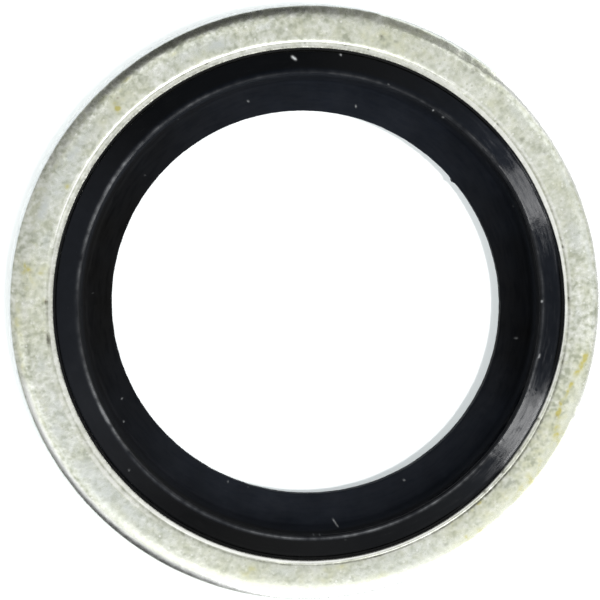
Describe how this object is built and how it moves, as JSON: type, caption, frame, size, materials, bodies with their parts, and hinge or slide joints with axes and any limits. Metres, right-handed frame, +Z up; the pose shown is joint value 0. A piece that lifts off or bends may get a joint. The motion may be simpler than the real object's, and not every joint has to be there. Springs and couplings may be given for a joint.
{
  "type": "bonded sealing washer",
  "caption": "Flat zinc-plated steel ring with a black rubber sealing lip bonded inside it and a thin rubber web that centres it on a pipe thread.",
  "frame": {"origin": "centre of the plane the washer rests on, which is the crest of its lower sealing lip", "axes": "+Z up along the washer's axis of symmetry, out of the bore; X and Y are equivalent"},
  "size_m": [0.0286, 0.0286, 0.0032],
  "materials": {
    "zinc_steel": "stamped and tumbled steel, bright zinc plated with a pale yellowish passivate, fine mottled grain",
    "black_rubber": "smooth moulded black nitrile rubber, low sheen"
  },
  "bodies": {
    "root": {"metal_ring": "zinc_steel", "rubber_seal": "black_rubber"}
  },
  "joints": []
}
